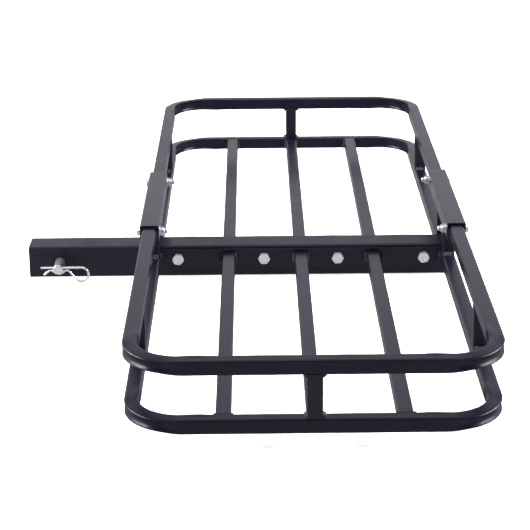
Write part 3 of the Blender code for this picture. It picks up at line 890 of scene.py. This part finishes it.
def make_clip(metal):
    """Spring clip: a straight leg through the pin, and a waved leg that grips round below it."""
    hug = PIN_DIAMETER / 2 + CLIP_WIRE / 2 + CAD_GAP
    hug_slope, slope = radians(CLIP_HUG), radians(CLIP_RISE)
    hump_x = (hug + CLIP_HUMP) * sin(hug_slope) + CLIP_FLANK * cos(hug_slope)
    hump_z = CLIP_FLANK * sin(hug_slope) - (hug + CLIP_HUMP) * cos(hug_slope)
    rise_x = hump_x + CLIP_HUMP * sin(slope)
    rise_z = hump_z + CLIP_HUMP * cos(slope)
    loop_end_z = -CLIP_LOOP - CLIP_LOOP * cos(slope)
    ramp = (rise_z - loop_end_z) / sin(slope)
    loop_x = rise_x + ramp * cos(slope) + CLIP_LOOP * sin(slope)
    moves = (loop_x + CLIP_LEG, (CLIP_LOOP, -180 - CLIP_RISE), ramp,
             (CLIP_HUMP, CLIP_RISE + CLIP_HUG), CLIP_FLANK, (hug, -2 * CLIP_HUG), CLIP_FLANK,
             (CLIP_HUMP, CLIP_HUG + CLIP_DROOP), CLIP_TAIL)
    route = flat_route((-CLIP_LEG, 0), 0, moves, 5)
    stations = stations_on(route, pin_centre() + Y * CLIP_SETBACK, X, Z)
    shape = bmesh.new()
    loft(shape, round_ends(stations, partial(circle, steps=20), CLIP_WIRE / 2, CLIP_END_SOFT))
    mesh = finished_mesh("spring_clip", shape, metal)
    add_piece("spring_clip_wire", mesh, ["spring_clip"], "clip")


# -------------------------------------------------------------------------------------------------- studio

def add_light(name, place, target, size, power):
    lamp = bpy.data.lights.new(name, "AREA")
    lamp.shape = "RECTANGLE"
    lamp.size, lamp.size_y = size
    lamp.energy = power
    thing = bpy.data.objects.new(name, lamp)
    bpy.context.scene.collection.objects.link(thing)
    thing.location = place
    thing.rotation_mode = "QUATERNION"
    thing.rotation_quaternion = (Vector(target) - Vector(place)).to_track_quat("-Z", "Y")


def sky_ramp(tree, height, stops):
    """Colour against height, from stops of (height from -1 to 1, brightness)."""
    ramp = add_node(tree, "ShaderNodeValToRGB", {"Fac": remap(tree, height, -1.0, 1.0, 0.0, 1.0)})
    elements = ramp.color_ramp.elements
    while len(elements) < len(stops):
        elements.new(0.5)
    for element, (level, value) in zip(elements, stops):
        element.position = (level + 1) / 2
        element.color = (value, value, value, 1)
    return ramp.outputs["Color"]


def make_world():
    """A white sweep behind and below, and a dimmer room on the camera's side."""
    world = bpy.data.worlds.new("studio")
    world.use_nodes = True
    tree = world.node_tree
    direction = add_node(tree, "ShaderNodeTexCoord").outputs["Generated"]
    parts = add_node(tree, "ShaderNodeSeparateXYZ", {"Vector": direction}).outputs
    room, sweep = sky_ramp(tree, parts["Z"], ROOM), sky_ramp(tree, parts["Z"], SWEEP)
    behind = remap(tree, parts["Y"], -0.2, 0.6, 0.0, 1.0)
    light = mix_colour(tree, behind, room, sweep)
    tinted = mix_colour(tree, 1.0, light, SKY_TINT, "MULTIPLY")
    tree.links.new(tinted, tree.nodes["Background"].inputs["Color"])
    bpy.context.scene.world = world


def make_studio():
    """A plain white floor, a softbox and a low strip light on each side, and a wide softbox overhead."""
    mesh = bpy.data.meshes.new("floor")
    half, level = FLOOR_HALF, CAD_BOX[0].z
    corners = [(-half, -half, level), (half, -half, level), (half, half, level), (-half, half, level)]
    mesh.from_pydata(corners, [], [(0, 1, 2, 3)])
    mesh.materials.append(floor_material())
    floor = bpy.data.objects.new("floor", mesh)
    bpy.context.scene.collection.objects.link(floor)
    floor.visible_glossy = False
    make_world()
    bpy.context.scene.view_settings.view_transform = "Standard"
    for name, side in HALVES.items():
        add_light(f"{name}_softbox", (1.75 * side, 0.0, 1.20), (0.1 * side, -0.1, 0), (1.8, 0.4), 80)
        add_light(f"{name}_strip", (1.80 * side, -0.42, 0.60), (0.1 * side, -0.5, 0), (0.9, 0.25), 7)
    add_light("top_softbox", (0.0, -0.5, 2.9), (0, -0.2, 0), (2.6, 2.0), 40)


def make_camera():
    lens = bpy.data.cameras.new("camera")
    lens.sensor_width = SENSOR
    lens.lens = CAMERA_LENS
    lens.clip_start, lens.clip_end = 0.05, 100
    camera = bpy.data.objects.new("camera", lens)
    bpy.context.scene.collection.objects.link(camera)
    turn = (Matrix.Rotation(radians(-CAMERA_PAN), 4, "Z") @ Matrix.Rotation(radians(90 + CAMERA_TILT), 4, "X")
            @ Matrix.Rotation(radians(CAMERA_ROLL), 4, "Z"))
    camera.matrix_world = Matrix.Translation(CAMERA_PLACE) @ turn
    bpy.context.scene.camera = camera


def main():
    paint = powder_coat("black_powder_coat")
    weld_paint = powder_coat("black_powder_coat_on_weld", peel=WELD_PEEL)
    plate_paint = powder_coat("black_powder_coat_on_plate", shine=PLATE_SHINE)
    sleeve_paint = powder_coat("black_powder_coat_on_sleeve", shine=SLEEVE_SHINE)
    plate = zinc("bright_zinc", PLATE_TINT, 0.20, 0.34, PLATE_RELIEF)
    wire = zinc("bright_zinc_wire", WIRE_TINT, 0.16, 0.28, WIRE_RELIEF)
    make_drawbar(paint)
    for half, side in HALVES.items():
        make_plate(half, plate_paint)
        for level in ("lower", "upper"):
            make_rail(f"{half}_{level}_rail", side, paint)
        for place in ("front", "middle", "rear"):
            make_straight_tube(f"{half}_{place}_slat", Y, paint)
        for place in ("end", "front_inner", "front_outer", "rear_inner", "rear_outer"):
            make_straight_tube(f"{half}_{place}_post", Z, paint)
        make_welds(half, weld_paint)
    for place in SIDES:
        make_sleeve(place, sleeve_paint)
    make_frame_fasteners(plate)
    make_sleeve_fasteners(plate)
    make_hitch_pin(plate)
    make_clip(wire)
    make_studio()
    make_camera()


main()
